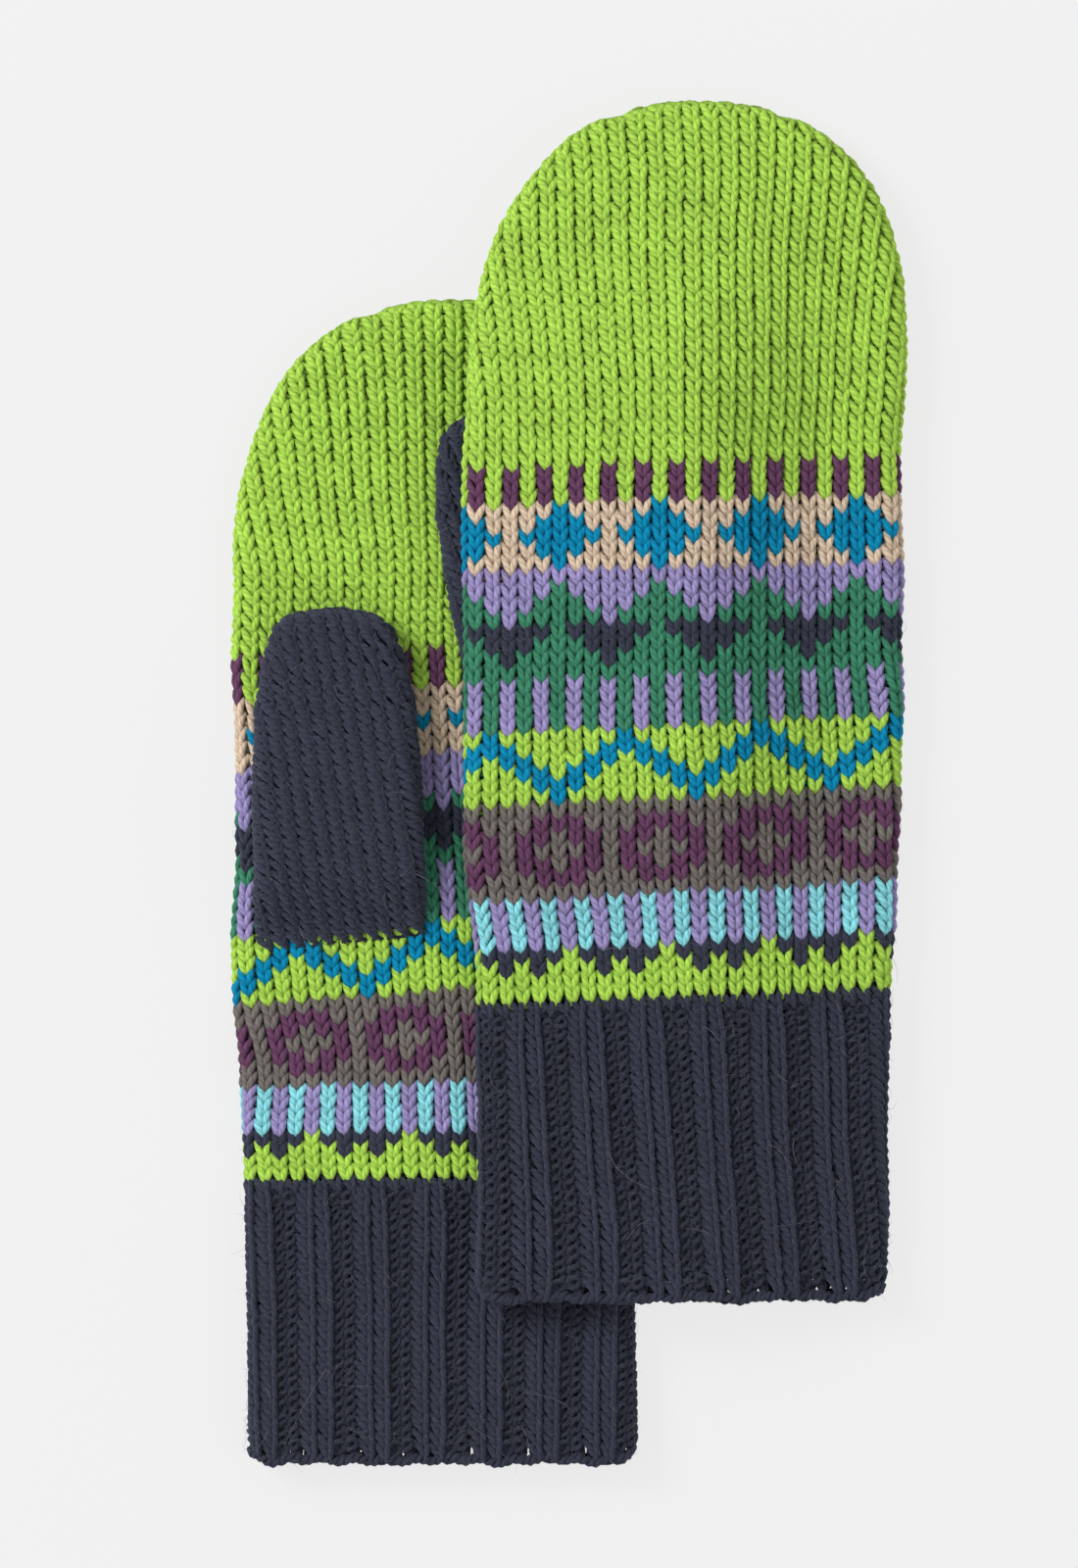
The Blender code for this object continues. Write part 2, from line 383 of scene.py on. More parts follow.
def wave(row, c):
    spans = ((0,), (0, 1, 3), (0, 1, 2, 3), (0, 1, 2, 3))
    return "lime" if near(c, 6) in spans[row] else "navy"


def turquoise_bars(row, c):
    return "turquoise" if c % 2 else "lilac"


def medallions(row, c):
    spans = ((), (0, 1), (1, 2), (2,), (1, 2), (0, 1), ())
    return "plum" if near(c, 6) in spans[row] else "grey"


def zigzag(row, c):
    return "blue" if row - near(c, 8) in (0, 1) else "lime"


def green_bars(row, c):
    return "lilac" if c % 2 else "green"


def navy_peaks(row, c):
    return "green" if near(c, 6) <= row else "navy"


def lilac_scallops(row, c):
    return "green" if near(c, 6) <= row - 1 else "lilac"


def diamonds(row, c):
    return "blue" if near(c, 6) <= (0, 1, 2, 1, 0)[row] else "beige"


def plum_bars(row, c):
    return "plum" if c % 2 else "lime"


def plain(colour):
    return lambda row, c: colour


# rows of each band, and the colour of a stitch from its row, counted from the top, and column
CHARTS = {
    "cuff_rib": (RIB_ROWS, plain("navy")),
    "wave_band": (4, wave),
    "turquoise_bars": (4, turquoise_bars),
    "medallion_band": (7, medallions),
    "zigzag_band": (6, zigzag),
    "green_bars": (4, green_bars),
    "navy_peaks": (4, navy_peaks),
    "lilac_scallops": (4, lilac_scallops),
    "diamond_band": (5, diamonds),
    "plum_bars": (3, plum_bars),
    "finger_band": (8, plain("lime")),
    "crown": (20, plain("lime")),
}
# column where the repeats of six and of eight stitches start, counted from the middle of the face
REPEAT_START = {"left": (4, 2), "right": (2, 4)}


# ---------------------------------------------------------------- yarn worked into loops
class Hand:
    """How the yarn sits in one kind of fabric: its thickness, how far its legs spread, lean and
    stand proud, and for ribbing how far knit columns rise and purl columns sink."""

    def __init__(self, wide=0.72, deep=0.71, swell=0.18, bulge=0.272, crook=0.06, gather=0.055,
                 reach=0.95, depth=0.74, skew=0.05, thick_leg=0.0, proud_leg=0.0,
                 relief=(0.0, 0.0)):
        self.wide, self.deep, self.swell, self.reach, self.depth = wide, deep, swell, reach, depth
        self.bulge, self.crook, self.gather, self.skew = bulge, crook, gather, skew
        self.thick_leg, self.proud_leg, self.relief = thick_leg, proud_leg, relief


COLOURWORK = Hand()
STOCKING = Hand(wide=0.75, deep=0.74, skew=0.20, thick_leg=0.08, proud_leg=0.06)
THUMB_KNIT = Hand(wide=0.60, deep=0.68, skew=0.64, thick_leg=0.14, proud_leg=-0.22, reach=1.0)
RIBBING = Hand(wide=0.60, deep=0.66, skew=0.42, thick_leg=0.08, proud_leg=0.20, reach=1.0,
               relief=(0.10, -0.35))


RIB_WIDENING = 0.22        # by which knit columns of the rib are wider than purl ones
RIB_SLOPE = 1.1
EVEN_SHARE = 0.44          # share of a half round, from the middle, where columns are even


class Round:
    """One round of knitting on a tube: where each loop goes and how it is worked."""

    def __init__(self, tube, y, height, half_count, pitch, hand, rng, rib=None, last=False):
        self.tube, self.y, self.height, self.half_count = tube, y, height, half_count
        self.pitch, self.hand, self.rib, self.last = pitch, hand, rib, last
        count = 2 * half_count
        self.count = count
        self.slots = np.arange(count) - half_count + 0.5
        self.purl = np.zeros(count)
        if rib:
            self.purl = ((np.arange(count) - half_count + 1) % 4 >= 2) * 1.0
        self.relief = (rib or 0.0) * (hand.relief[0] * (1.0 - self.purl)
                                      + hand.relief[1] * self.purl)
        self.skew = hand.skew + rng.normal(0.0, 0.05, count)
        self.dx = rng.normal(0.0, 0.12, count)
        self.dy = rng.normal(0.0, 0.15, count)
        self.reach = hand.reach * (1.0 + rng.normal(0.0, 0.04, count))
        self.bulge = hand.bulge * (1.0 + rng.normal(0.0, 0.10, count))
        self.swell = 1.0 + rng.normal(0.0, 0.06, count)
        self.lift = rng.normal(0.0, 0.09, count)
        self.tint = rng.normal(0.0, 0.13, count)

    def arc(self, u, y):
        """Arc of a column position, even across the upper face and eased underneath."""
        y_here = self.y + 0.0 * u
        if self.rib is not None:
            turn = np.floor((u + 1.0) / 4.0)
            wide = 1.0 + RIB_WIDENING * self.rib
            u = 4.0 * turn + np.interp(u - 4.0 * turn, (-1.0, 1.0, 3.0), (-wide, wide, 4.0 - wide))
            return self.pitch * u + self.tube.rib_lean(y_here, u)
        spare = self.tube.half_round(y) - self.half_count * self.pitch
        start = EVEN_SHARE * self.half_count
        ease = smooth((np.abs(u) - start) / (self.half_count - start))
        return self.pitch * u + np.sign(u) * spare * ease + self.tube.lean(y_here)

    def rib_slope(self, u):
        """Purl columns climb to the right and knit pairs fall back."""
        part = (u + 1.0) % 4.0
        return self.rib * np.interp(part, (0.0, 2.0, 4.0), (RIB_SLOPE, -RIB_SLOPE, RIB_SLOPE))

    def loop(self, k):
        """Path of loop k: column position, height, depth, yarn radii, and the value that sets its
        painted shade.
        """
        hand = self.hand
        t = np.arange(LOOP_STEPS) / LOOP_STEPS * TAU
        inner = np.sin(t / 2.0) ** 2
        u = (self.slots[k] - 0.5 + t / TAU + self.bulge[k] * np.sin(2.0 * t)
             - hand.crook * np.sin(6.0 * t) + hand.gather * np.sin(t))
        up = -self.reach[k] * self.height * np.cos(t)
        k_after = (k + 1) % self.count
        own = 1.0 - 2.0 * self.purl[k]
        before, after = 1.0 - 2.0 * self.purl[k - 1], 1.0 - 2.0 * self.purl[k_after]
        first = np.clip(1.0 - 6.0 * t / TAU, 0.0, 1.0)
        last = np.clip(1.0 - 6.0 * (TAU - t) / TAU, 0.0, 1.0)
        face = own + 0.5 * (before - own) * first + 0.5 * (after - own) * last
        relief = (self.relief[k] + 0.5 * (self.relief[k - 1] - self.relief[k]) * first
                  + 0.5 * (self.relief[k_after] - self.relief[k]) * last)
        depth = (-hand.depth * face * np.cos(2.0 * t) + relief + self.lift[k] * inner
                 - hand.proud_leg * own * np.sin(t))
        u = u - self.skew[k] * up / self.pitch + self.dx[k] / self.pitch * inner
        up = up + self.dy[k] * inner
        size = 1.0 - hand.swell * np.cos(2.0 * t) + hand.thick_leg * np.sin(t)
        size = size * (1.0 + (self.swell[k] - 1.0) * inner)
        if self.rib is not None:
            up = up + self.rib_slope(u)
        # this value sets the painted shade: deeper yarn is coloured darker; the tint is the
        # stitch's own random tone
        painted_shade_and_tone = depth + self.tint[k] * inner
        # the closing rounds are spared the darkest painted shade
        if self.last:
            painted_shade_and_tone = np.maximum(painted_shade_and_tone, 0.3)
        return u, self.y + up, depth, size * hand.wide, size * hand.deep, painted_shade_and_tone

    def float_behind(self, k):
        t = (np.arange(FLOAT_STEPS) + 0.5) / FLOAT_STEPS
        u = self.slots[k] - 0.5 + t
        one = np.ones_like(t)
        # floats lie deep, so their last value gives them dark painted shade
        return (u, self.y + 0.15 * self.height * np.sin(TAU * t), -FLOAT_DEPTH * one,
                FLOAT_RADIUS * one, FLOAT_RADIUS * one, -FLOAT_DEPTH * one)

    def ring(self, uses):
        """The whole ring of one yarn: loops where uses says so, floats elsewhere."""
        parts = [self.loop(k) if uses[k] else self.float_behind(k) for k in range(self.count)]
        u, y, depth, wide, deep, painted_shade_and_tone = (np.concatenate(p) for p in zip(*parts))
        points, outward = self.tube.at(self.arc(u, y), y, depth)
        return points, outward, painted_shade_and_tone, wide, deep


def yarn_tube(points, outward, wide, deep):
    """Vertices round a closed ring of yarn, and the running length along it."""
    ahead = np.roll(points, -1, axis=0) - np.roll(points, 1, axis=0)
    ahead /= np.linalg.norm(ahead, axis=1, keepdims=True)
    out = outward - ahead * np.sum(outward * ahead, axis=1, keepdims=True)
    out /= np.maximum(np.linalg.norm(out, axis=1, keepdims=True), 1e-6)
    across = np.cross(ahead, out)
    angle = np.arange(YARN_SIDES) / YARN_SIDES * TAU
    cos, sin = np.cos(angle)[None, :, None], np.sin(angle)[None, :, None]
    verts = (points[:, None] + out[:, None] * cos * deep[:, None, None]
             + across[:, None] * sin * wide[:, None, None])
    step = np.linalg.norm(np.roll(points, -1, axis=0) - points, axis=1)
    return verts, np.concatenate([[0.0], np.cumsum(step)])


class Piece:
    """Gathers rings of yarn into one mesh."""

    def __init__(self, name):
        self.name, self.count = name, 0
        self.verts, self.faces, self.uvs, self.proud = [], [], [], []

    def add_ring(self, points, outward, depth, wide, deep):
        verts, run = yarn_tube(points, outward, wide, deep)
        rows = len(points)
        i = np.arange(rows)[:, None]
        j = np.arange(YARN_SIDES)[None, :]
        i2, j2 = (i + 1) % rows, (j + 1) % YARN_SIDES
        quads = np.stack([i * YARN_SIDES + j, i * YARN_SIDES + j2, i2 * YARN_SIDES + j2,
                          i2 * YARN_SIDES + j], axis=-1)
        self.verts.append(verts.reshape(-1, 3))
        self.faces.append(quads.reshape(-1, 4) + self.count)
        self.count += rows * YARN_SIDES
        # the proud attribute, how far out each point of the yarn's skin lies, sets the painted
        # shade in the wool material: darker towards the sides of each strand
        proud = depth[:, None] + deep[:, None] * np.cos(j / YARN_SIDES * TAU)
        self.proud.append(proud.reshape(-1))
        u0, u1 = run[:-1][:, None], run[1:][:, None]
        v0, v1 = j / YARN_SIDES, (j + 1) / YARN_SIDES
        one = np.ones((rows, YARN_SIDES))
        corners = ((u0, v0), (u0, v1), (u1, v1), (u1, v0))
        uv = np.stack([np.stack([u * one, v * one], -1) for u, v in corners], axis=2)
        self.uvs.append(uv.reshape(-1, 2))

    def make(self, material):
        obj = mesh_object(self.name, np.concatenate(self.verts) * MM, np.concatenate(self.faces),
                          material)
        mesh = obj.data
        layer = mesh.uv_layers.new(name="yarn")
        layer.data.foreach_set("uv", np.concatenate(self.uvs).astype(np.float32).ravel())
        proud = mesh.attributes.new("proud", "FLOAT", "POINT")
        proud.data.foreach_set("value", np.concatenate(self.proud).astype(np.float32))
        return obj


def mesh_object(name, verts, faces, material):
    """A mesh from arrays of vertices and equal-sided faces, smooth shaded."""
    mesh = bpy.data.meshes.new(name)
    sides = faces.shape[1]
    mesh.vertices.add(len(verts))
    mesh.vertices.foreach_set("co", verts.astype(np.float32).ravel())
    mesh.loops.add(faces.size)
    mesh.loops.foreach_set("vertex_index", faces.astype(np.int32).ravel())
    mesh.polygons.add(len(faces))
    mesh.polygons.foreach_set("loop_start", np.arange(0, faces.size, sides, dtype=np.int32))
    mesh.polygons.foreach_set("loop_total", np.full(len(faces), sides, dtype=np.int32))
    mesh.update(calc_edges=True)
    mesh.polygons.foreach_set("use_smooth", np.ones(len(faces), dtype=bool))
    mesh.materials.append(material)
    obj = bpy.data.objects.new(name, mesh)
    bpy.context.scene.collection.objects.link(obj)
    return obj


# ---------------------------------------------------------------- loose fibres
SHOWING_DEPTH = 0.1        # fibres root only on yarn that lies further out than this
ROOT_HEIGHT = 1.6          # and higher above the table than this
FLOOR_GAP = 0.1
ROOT_OFFSET = 0.70         # from the middle of the yarn to a fibre's root
FIBRE_RADIUS = 0.036
FIBRE_LENGTHS = (1.0, 1.4)   # on smooth and on fuzzy yarns
FUZZY = 0.1                # a yarn with more fibres than this counts as fuzzy
STRAY_LENGTH = 4.5
STRAY_RADIUS = 0.050
STRAY_ON_HAND = 0.008      # long hairs for each point of the yarn's path
STRAY_ON_THUMB = 0.010


class Fuzz:
    """Collects places on the yarn of one colour and grows short curved fibres there."""

    SIDES = 3
    STEPS = 5

    def __init__(self, name, seed):
        self.name, self.rng, self.roots, self.outs = name, np.random.default_rng(seed), [], []

    def add(self, points, outward, depth, density):
        showing = np.where((depth > SHOWING_DEPTH) & (points[:, 2] > ROOT_HEIGHT))[0]
        pick = showing[self.rng.random(len(showing)) < density]
        self.roots.append(points[pick])
        self.outs.append(outward[pick])

    def make(self, material, length, radius):
        roots, outs = np.concatenate(self.roots), np.concatenate(self.outs)
        count = len(roots)
        rng = self.rng
        drift = rng.normal(0.0, 1.0, (count, 3))
        drift -= outs * np.sum(drift * outs, axis=1, keepdims=True)
        drift /= np.linalg.norm(drift, axis=1, keepdims=True)
        bend = np.cross(outs, drift) * rng.normal(0.0, 0.9, (count, 1))
        long = length * rng.lognormal(0.0, 0.50, (count, 1))
        t = np.linspace(0.0, 1.0, self.STEPS)
        rising = ROOT_OFFSET + long[:, None] * (0.60 * t - 0.40 * t ** 2)[None, :, None]
        centre = (roots[:, None] + outs[:, None] * rising
                  + drift[:, None] * long[:, None] * (0.9 * t)[None, :, None]
                  + bend[:, None] * long[:, None] * (0.55 * t ** 2)[None, :, None])
        centre[..., 2] = np.maximum(centre[..., 2], FLOOR_GAP)
        ahead = np.gradient(centre, axis=1)
        ahead /= np.linalg.norm(ahead, axis=2, keepdims=True)
        side = np.cross(ahead, outs[:, None] + 0.01)
        side /= np.linalg.norm(side, axis=2, keepdims=True)
        other = np.cross(ahead, side)
        thin = radius * (1.0 - 0.75 * t)[None, :, None, None]
        angle = np.arange(self.SIDES) / self.SIDES * TAU
        verts = (centre[:, :, None] + side[:, :, None] * np.cos(angle)[None, None, :, None] * thin
                 + other[:, :, None] * np.sin(angle)[None, None, :, None] * thin)
        ring = self.STEPS * self.SIDES
        i = np.arange(self.STEPS - 1)[:, None]
        j = np.arange(self.SIDES)[None, :]
        j2 = (j + 1) % self.SIDES
        a, b = i * self.SIDES + j, i * self.SIDES + j2
        c, d = b + self.SIDES, a + self.SIDES
        tris = np.concatenate([np.stack([a, b, c], -1).reshape(-1, 3),
                               np.stack([a, c, d], -1).reshape(-1, 3),
                               [[0, 2, 1]], [[ring - 3, ring - 2, ring - 1]]])
        faces = (tris[None] + (np.arange(count) * ring)[:, None, None]).reshape(-1, 3)
        return mesh_object(self.name, verts.reshape(-1, 3) * MM, faces, material)


def fibre_material(name, colour):
    material = bpy.data.materials.new("fibre_" + name)
    material.use_nodes = True
    shader = material.node_tree.nodes["Principled BSDF"]
    # painted highlight: fibres are coloured lighter than their yarn, for the light their fine
    # loose ends catch
    shader.inputs["Base Color"].default_value = (*[min(1.0, 1.25 * c + 0.05) for c in colour], 1.0)
    shader.inputs["Roughness"].default_value = 0.7
    shader.inputs["Sheen Weight"].default_value = 0.3
    return material


# ---------------------------------------------------------------- materials
def wool(name, colour, sheen, sheen_tint, shadow):
    """Spun wool: plies twisted round the yarn, fine fibres along them, slight tonal drift, and
    painted shade where the yarn dives between its neighbours and towards the sides of each strand."""
    material = bpy.data.materials.new("wool_" + name)
    material.use_nodes = True
    tree = material.node_tree
    nodes, links = tree.nodes, tree.links
    shader = nodes["Principled BSDF"]
    shader.inputs["Roughness"].default_value = 0.85
    shader.inputs["Specular IOR Level"].default_value = 0.15
    shader.inputs["Sheen Weight"].default_value = sheen
    shader.inputs["Sheen Roughness"].default_value = 0.45
    shader.inputs["Sheen Tint"].default_value = (*sheen_tint, 1.0)
    uv = nodes.new("ShaderNodeUVMap")
    uv.uv_map = "yarn"
    parts = nodes.new("ShaderNodeSeparateXYZ")
    links.new(uv.outputs[0], parts.inputs[0])

    def maths(operation, a, b=None):
        node = nodes.new("ShaderNodeMath")
        node.operation = operation
        for socket, value in zip(node.inputs, (a, b)):
            if value is None:
                continue
            if isinstance(value, (int, float)):
                socket.default_value = value
            else:
                links.new(value, socket)
        return node.outputs[0]

    def ranged(value, low, high, to_low, to_high):
        node = nodes.new("ShaderNodeMapRange")
        sockets = ("From Min", "From Max", "To Min", "To Max")
        for socket, number in zip(sockets, (low, high, to_low, to_high)):
            node.inputs[socket].default_value = number
        links.new(value, node.inputs["Value"])
        return node.outputs[0]

    twist = maths("ADD", maths("MULTIPLY", parts.outputs[1], 3.0),
                  maths("MULTIPLY", parts.outputs[0], 0.62))
    ply = maths("ABSOLUTE", maths("SINE", maths("MULTIPLY", twist, math.pi)))
    around = nodes.new("ShaderNodeCombineXYZ")
    links.new(maths("MULTIPLY", parts.outputs[0], 0.9), around.inputs[0])
    links.new(maths("MULTIPLY", twist, 4.0), around.inputs[1])
    fibre = nodes.new("ShaderNodeTexNoise")
    fibre.inputs["Scale"].default_value = 1.6
    fibre.inputs["Detail"].default_value = 4.0
    fibre.inputs["Roughness"].default_value = 0.65
    links.new(around.outputs[0], fibre.inputs["Vector"])
    place = nodes.new("ShaderNodeTexCoord")
    drift = nodes.new("ShaderNodeTexNoise")
    drift.inputs["Scale"].default_value = 140.0
    drift.inputs["Detail"].default_value = 2.0
    links.new(place.outputs["Object"], drift.inputs["Vector"])
    # the ply term paints shade into the grooves between plies; the fibre and drift terms are the
    # yarn's own tone
    shade = maths("ADD", maths("MULTIPLY", ply, 0.30),
                  maths("ADD", maths("MULTIPLY", fibre.outputs[0], 0.75),
                        maths("MULTIPLY", drift.outputs[0], 0.35)))
    streaks_and_ply_shade = ranged(shade, 0.40, 1.10, 0.60, 1.36)
    # painted shade: the colour darkens where the yarn lies deep or turns away from the outside,
    # and lightens where it stands out
    proud = nodes.new("ShaderNodeAttribute")
    proud.attribute_name = "proud"
    painted_cavity_shade = ranged(proud.outputs["Fac"], 0.0, 1.45, shadow, 1.16)
    tone_and_painted_shade = maths("MULTIPLY", streaks_and_ply_shade, painted_cavity_shade)
    scale = nodes.new("ShaderNodeVectorMath")
    scale.operation = "SCALE"
    scale.inputs[0].default_value = colour
    links.new(tone_and_painted_shade, scale.inputs["Scale"])
    links.new(scale.outputs[0], shader.inputs["Base Color"])
    height = maths("ADD", maths("MULTIPLY", ply, 0.55), maths("MULTIPLY", fibre.outputs[0], 0.8))
    bump = nodes.new("ShaderNodeBump")
    bump.inputs["Strength"].default_value = 0.6
    bump.inputs["Distance"].default_value = 0.00035
    links.new(height, bump.inputs["Height"])
    links.new(bump.outputs[0], shader.inputs["Normal"])
    return material


WOOL = {name: wool(name, colour, 0.25, [min(1.0, 0.04 + 1.2 * c) for c in colour], 0.54)
        for name, colour in YARNS.items() if name != "navy"}
WOOL["navy"] = wool("navy", YARNS["navy"], 0.45, (0.30, 0.34, 0.46), 0.56)
FIBRE = {name: fibre_material(name, colour) for name, colour in YARNS.items()}
STRAY = fibre_material("stray", (0.11, 0.11, 0.13))
# share of the points of a yarn's path that carry a fibre
FUZZINESS = {"navy": 0.42, "plum": 0.25, "grey": 0.16, "green": 0.08, "lilac": 0.06,
             "lime": 0.04, "turquoise": 0.04, "blue": 0.05, "beige": 0.05}


# ---------------------------------------------------------------- knitting the mittens
def dress(piece_object, body, replaced):
    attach(piece_object, body)
    for node in replaced:
        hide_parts(node)


# bands that are split into several pieces, to keep each one small
PARTS = {"cuff_rib": 3, "crown": 2}


def close_tip(tube, piece, half_count, hand, rng):
    """A last short round that fills the tip between the heads of the round below."""
    y = tube.tip - TIP_ROUND
    pitch = float(tube.half_round(np.array(y))) / half_count
    work = Round(tube, y, 1.2, half_count, pitch, hand, rng, last=True)
    piece.add_ring(*work.ring([True] * work.count))


def knit_band(tube, band, rng, fuzz):
    """All rounds of one band, as one piece for each yarn in it."""
    index = BANDS.index(band)
    start, end = tube.ends[index], tube.ends[index + 1]
    rows, chart = CHARTS[band]
    if band == "crown":
        end -= CROWN_GAP
    height = (end - start) / rows
    six, eight = REPEAT_START[tube.side]
    first = eight if band == "zigzag_band" else six
    pieces = {}
    for row in range(rows):
        y = start + (row + 0.5 - LOOP_DROP) * height + rng.normal(0.0, 0.05)
        half_round = float(tube.half_round(np.array(y)))
        rib, hand = None, COLOURWORK
        widen = 1.0 + float(tube.spread(np.array(y)))
        half_count = HAND_STITCHES // 2
        pitch = min(tube.pitch, half_round / half_count) * widen
        if band == "cuff_rib":
            rib, hand = min(1.0, (rows - 1 - row) / 3.0, (row + 1) / 2.5), RIBBING
            half_count = RIB_STITCHES // 2
            pitch = half_round / half_count
        elif band in ("finger_band", "crown"):
            hand = STOCKING
            pitch = tube.pitch * widen
            half_count = min(half_count, max(3, round(half_round / pitch)))
        last = band == "crown" and row >= rows - 2
        work = Round(tube, y, height, half_count, pitch, hand, rng, rib, last)
        colours = [chart(rows - 1 - row, int(round(s - 0.5)) + first) for s in work.slots]
        for colour in sorted(set(colours)):
            part = f"_{row * PARTS[band] // rows + 1}" if band in PARTS else ""
            piece = pieces.setdefault((colour, part), Piece(f"{tube.side}_{band}_{colour}{part}"))
            uses = [c == colour for c in colours]
            points, outward, depth, wide, deep = work.ring(uses)
            piece.add_ring(points, outward, depth, wide, deep)
            fuzz[colour].add(points, outward, depth, FUZZINESS[colour])
            if colour == "navy":
                fuzz["stray"].add(points, outward, depth, STRAY_ON_HAND)
    if band == "crown":
        close_tip(tube, piece, half_count, hand, rng)
    for (colour, part), piece in pieces.items():
        dress(piece.make(WOOL[colour]), tube.side + "_mitten", [f"{tube.side}_{band}"])


def lining(tube, name, start, end, material):
    """A thin closed skin just behind the stitches, which keeps light from passing between them."""
    turns, steps = LINING_TURNS, max(3, int((end - start) / LINING_STEP))
    y = np.linspace(start, end, steps)[:, None] + np.zeros((1, turns))
    arc = (np.arange(turns) / turns * 2.0 - 1.0)[None] * tube.half_round(y)
    outer = tube.at(arc, y, -LINING_DEPTH + 0.0 * y)[0]
    inner = tube.at(arc, y, -LINING_DEPTH - LINING_THICK + 0.0 * y)[0]
    loop = np.concatenate([outer, inner[::-1]])
    rows = len(loop)
    i, j = np.arange(rows)[:, None], np.arange(turns)[None]
    i2, j2 = (i + 1) % rows, (j + 1) % turns
    quads = np.stack([i * turns + j, i * turns + j2, i2 * turns + j2, i2 * turns + j], axis=-1)
    return mesh_object(name, loop.reshape(-1, 3) * MM, quads.reshape(-1, 4), material)


def cast_on_edge(tube, seed):
    """Two strands twisted round each other along the cuff's lower edge, one turn a stitch."""
    rng = np.random.default_rng(seed)
    y = (tube.ends[0] + tube.ends[1]) / 2.0
    half_round = float(tube.half_round(np.array(y)))
    piece = Piece(tube.side + "_cuff_edge_navy")
    steps = 8
    count = RIB_STITCHES * steps
    turn = np.arange(count) / steps * TAU
    arc = (np.arange(count) / count * 2.0 - 1.0) * half_round
    for strand in range(2):
        phase = turn + strand * math.pi
        height = (y + 0.5 + 0.55 * np.sin(phase) + 0.35 * np.sin(arc / 1.15)
                  + 0.25 * np.sin(arc / 2.9))
        depth = 0.45 * np.cos(phase) - 0.1
        points, outward = tube.at(arc, height, depth)
        size = np.full(count, 0.62) * (1.0 + rng.normal(0.0, 0.05, count))
        # the added 0.4 lightens the edge's painted shade
        piece.add_ring(points, outward, depth + 0.4, size, size)
    dress(piece.make(WOOL["navy"]), tube.side + "_mitten", [tube.side + "_cuff_edge"])


def knit_thumb(side, tube, seed, fuzz, base_fuzz):
    rng = np.random.default_rng(seed)
    piece = Piece(side + "_thumb_navy")
    height = (tube.tip - THUMB_GAP) / THUMB_ROWS
    widest = THUMB_STITCHES // 2
    full = float(tube.half_round(np.array(30.0)))
    for row in range(-1, THUMB_ROWS):
        y = (row + 0.5 - LOOP_DROP) * height
        half_round = float(tube.half_round(np.array(y)))
        half_count = min(widest, max(3, round(half_round / (full / widest))))
        work = Round(tube, y, height, half_count, half_round / half_count, THUMB_KNIT, rng,
                     last=row >= THUMB_ROWS - 2)
        points, outward, depth, wide, deep = work.ring([True] * work.count)
        piece.add_ring(points, outward, depth, wide, deep)
        hairs = base_fuzz if y < THUMB_BEND / 2.0 else fuzz
        hairs["navy"].add(points, outward, depth, 2.0 * FUZZINESS["navy"])
        hairs["stray"].add(points, outward, depth, STRAY_ON_THUMB)
    close_tip(tube, piece, half_count, THUMB_KNIT, rng)
    obj = piece.make(WOOL["navy"])
    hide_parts(side + "_thumb")
    return obj


def grow_fuzz(fuzz, body):
    for colour, tuft in fuzz.items():
        if not tuft.roots:
            continue
        if colour == "stray":
            obj = tuft.make(STRAY, STRAY_LENGTH, STRAY_RADIUS)
        else:
            obj = tuft.make(FIBRE[colour], FIBRE_LENGTHS[FUZZINESS[colour] > FUZZY], FIBRE_RADIUS)
        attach(obj, body)


def lining_material(name, colour):
    material = bpy.data.materials.new("lining_" + name)
    material.use_nodes = True
    shader = material.node_tree.nodes["Principled BSDF"]
    # the skin stands in for the back of the fabric and is coloured darker than its yarn, at 0.60,
    # as painted shade for what shows between the stitches
    shader.inputs["Base Color"].default_value = (*[0.60 * c for c in colour], 1.0)
    shader.inputs["Roughness"].default_value = 1.0
    shader.inputs["Specular IOR Level"].default_value = 0.0
    return material


LINING = {name: lining_material(name, YARNS[name]) for name in ("navy", "grey", "lime")}


def line_mitten(tube):
    skins = (("navy", "cuff_rib", "cuff_rib"), ("grey", "wave_band", "plum_bars"),
             ("lime", "finger_band", "crown"))
    for colour, first, last in skins:
        low, high = BANDS.index(first), BANDS.index(last) + 1
        start = tube.ends[low] + (CUFF_LINING_START if colour == "navy" else 0.0)
        end = tube.ends[high] - (CROWN_LINING_END if last == "crown" else 0.0)
        skin = lining(tube, f"{tube.side}_lining_{colour}", start, end, LINING[colour])
        dress(skin, tube.side + "_mitten", [f"{tube.side}_{band}" for band in BANDS[low:high]])


def new_fuzz(owner, seed):
    return {colour: Fuzz(f"{owner}_fibres_{colour}", seed + i)
            for i, colour in enumerate([*YARNS, "stray"])}


def knit_mitten(tube, seed):
    rng = np.random.default_rng(seed)
    fuzz = new_fuzz(tube.side, seed * 100)
    for band in BANDS[1:]:
        knit_band(tube, band, rng, fuzz)
    cast_on_edge(tube, seed + 7)
    line_mitten(tube)
    grow_fuzz(fuzz, tube.side + "_mitten")


knit_mitten(LeftMitten("left", 70), 11)
knit_mitten(RightMitten("right", 80), 23)

THUMBS = {
    "left": Thumb("left", hinge_place("left_thumb_fold"), THUMB_LENGTHS["left"], 0.0, 0.9, False),
    "right": Thumb("right", hinge_place("right_thumb_swing"), THUMB_LENGTHS["right"],
                   math.radians(RIGHT_SWING), 0.0, True),
}
for side, tube in THUMBS.items():
    fuzz = new_fuzz(side + "_thumb", 900 + len(side))
    base_fuzz = new_fuzz(side + "_thumb_base", 950 + len(side))
    thumb = knit_thumb(side, tube, 40 + len(side), fuzz, base_fuzz)
    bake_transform(thumb)
    grow_fuzz(fuzz, side + "_thumb")
    grow_fuzz(base_fuzz, side + "_mitten")


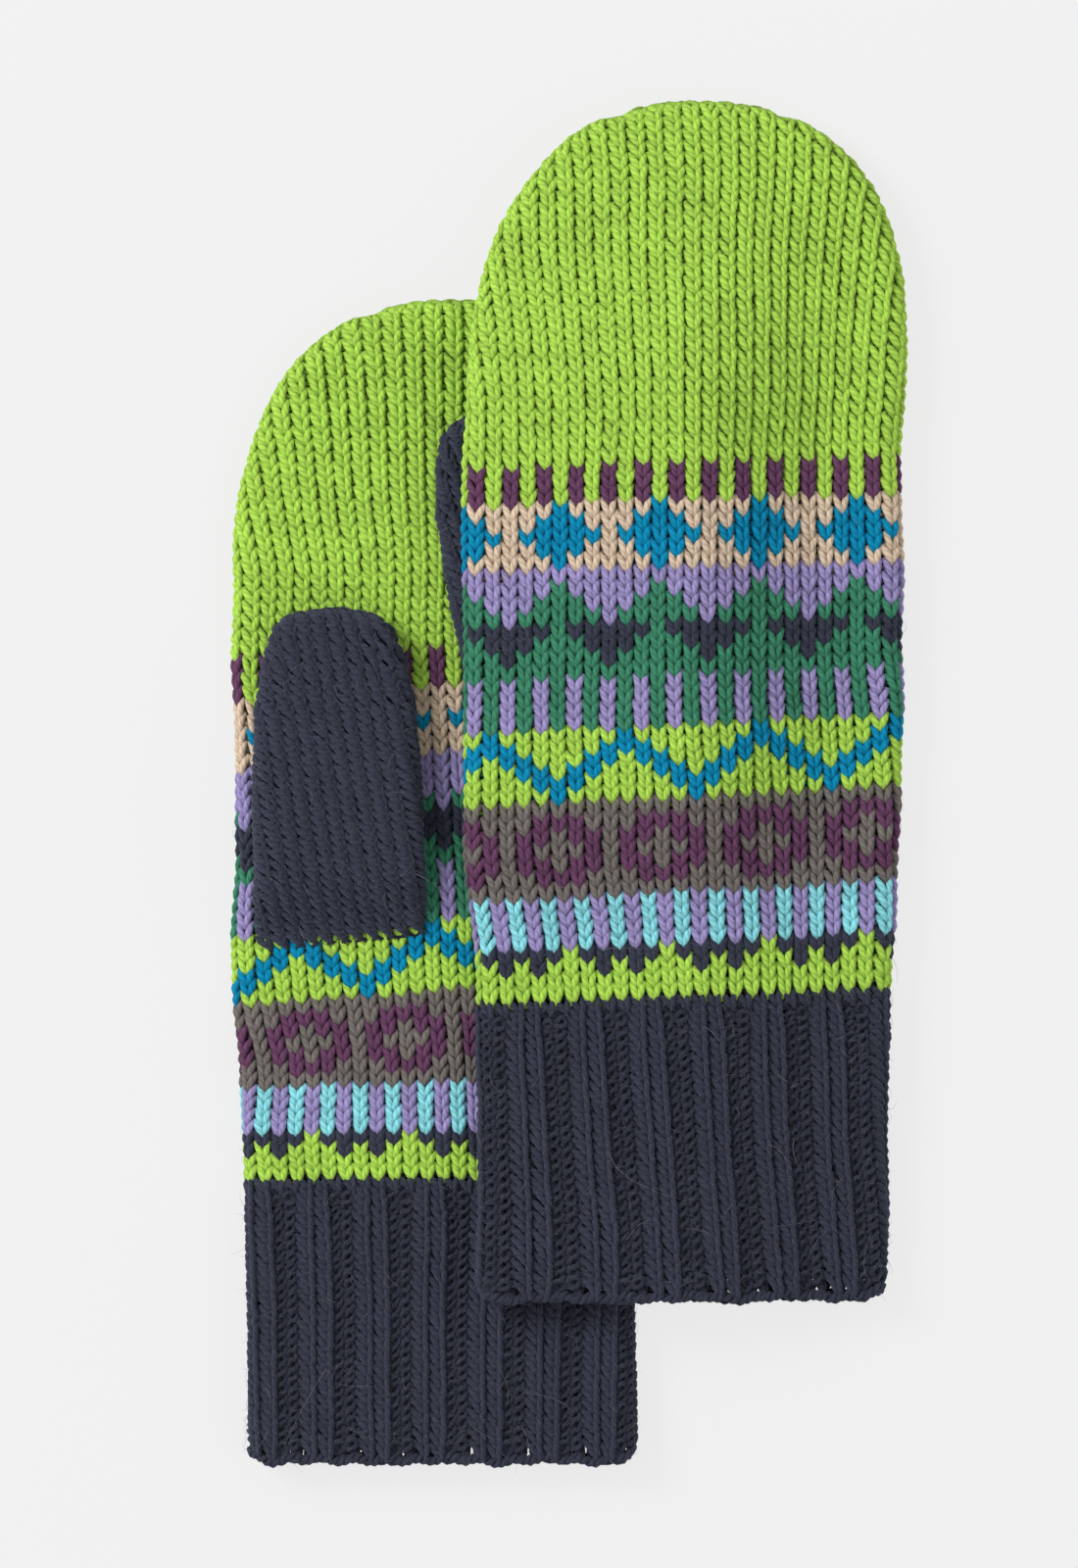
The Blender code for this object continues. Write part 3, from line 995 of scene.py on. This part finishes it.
# ---------------------------------------------------------------- floor, light and camera
FLOOR_HALF = 6.0
FLOOR_HEIGHT = -0.001
CAMERA_HEIGHT = 4.0
OBJECT_HEIGHT = 0.014
VIEW_HEIGHT = 0.3555       # what the picture's height covers at the object, in metres
SENSOR_WIDTH = 36.0


def floor():
    mesh = bpy.data.meshes.new("floor")
    s = FLOOR_HALF
    mesh.from_pydata([(-s, -s, 0), (s, -s, 0), (s, s, 0), (-s, s, 0)], [], [(0, 1, 2, 3)])
    material = bpy.data.materials.new("floor")
    material.use_nodes = True
    shader = material.node_tree.nodes["Principled BSDF"]
    shader.inputs["Base Color"].default_value = (0.10, 0.10, 0.10, 1.0)
    shader.inputs["Roughness"].default_value = 0.9
    shader.inputs["Specular IOR Level"].default_value = 0.0
    shader.inputs["Emission Color"].default_value = (1.0, 1.0, 1.0, 1.0)
    shader.inputs["Emission Strength"].default_value = 0.77
    mesh.materials.append(material)
    obj = bpy.data.objects.new("floor", mesh)
    obj.location = (0.0, 0.0, FLOOR_HEIGHT)
    bpy.context.scene.collection.objects.link(obj)


def area_light(name, location, size, energy):
    data = bpy.data.lights.new(name, "AREA")
    data.shape = "SQUARE"
    data.size = size
    data.energy = energy
    obj = bpy.data.objects.new(name, data)
    obj.location = location
    obj.rotation_mode = "QUATERNION"
    obj.rotation_quaternion = (-Vector(location)).to_track_quat("-Z", "Y")
    bpy.context.scene.collection.objects.link(obj)


floor()
area_light("key", (-1.3, 0.7, 1.3), 0.8, 26.0)
area_light("fill", (1.1, -0.7, 1.3), 1.4, 4.0)
world = bpy.data.worlds.new("studio")
world.use_nodes = True
world.node_tree.nodes["Background"].inputs["Color"].default_value = (1.0, 1.0, 1.0, 1.0)
world.node_tree.nodes["Background"].inputs["Strength"].default_value = 0.60
bpy.context.scene.world = world

camera_data = bpy.data.cameras.new("camera")
camera_data.sensor_width = SENSOR_WIDTH
camera_data.lens = SENSOR_WIDTH * (CAMERA_HEIGHT - OBJECT_HEIGHT) / VIEW_HEIGHT
camera = bpy.data.objects.new("camera", camera_data)
camera.location = (-0.0070, -0.0003, CAMERA_HEIGHT)
bpy.context.scene.collection.objects.link(camera)
bpy.context.scene.camera = camera
bpy.context.scene.view_settings.view_transform = "Standard"
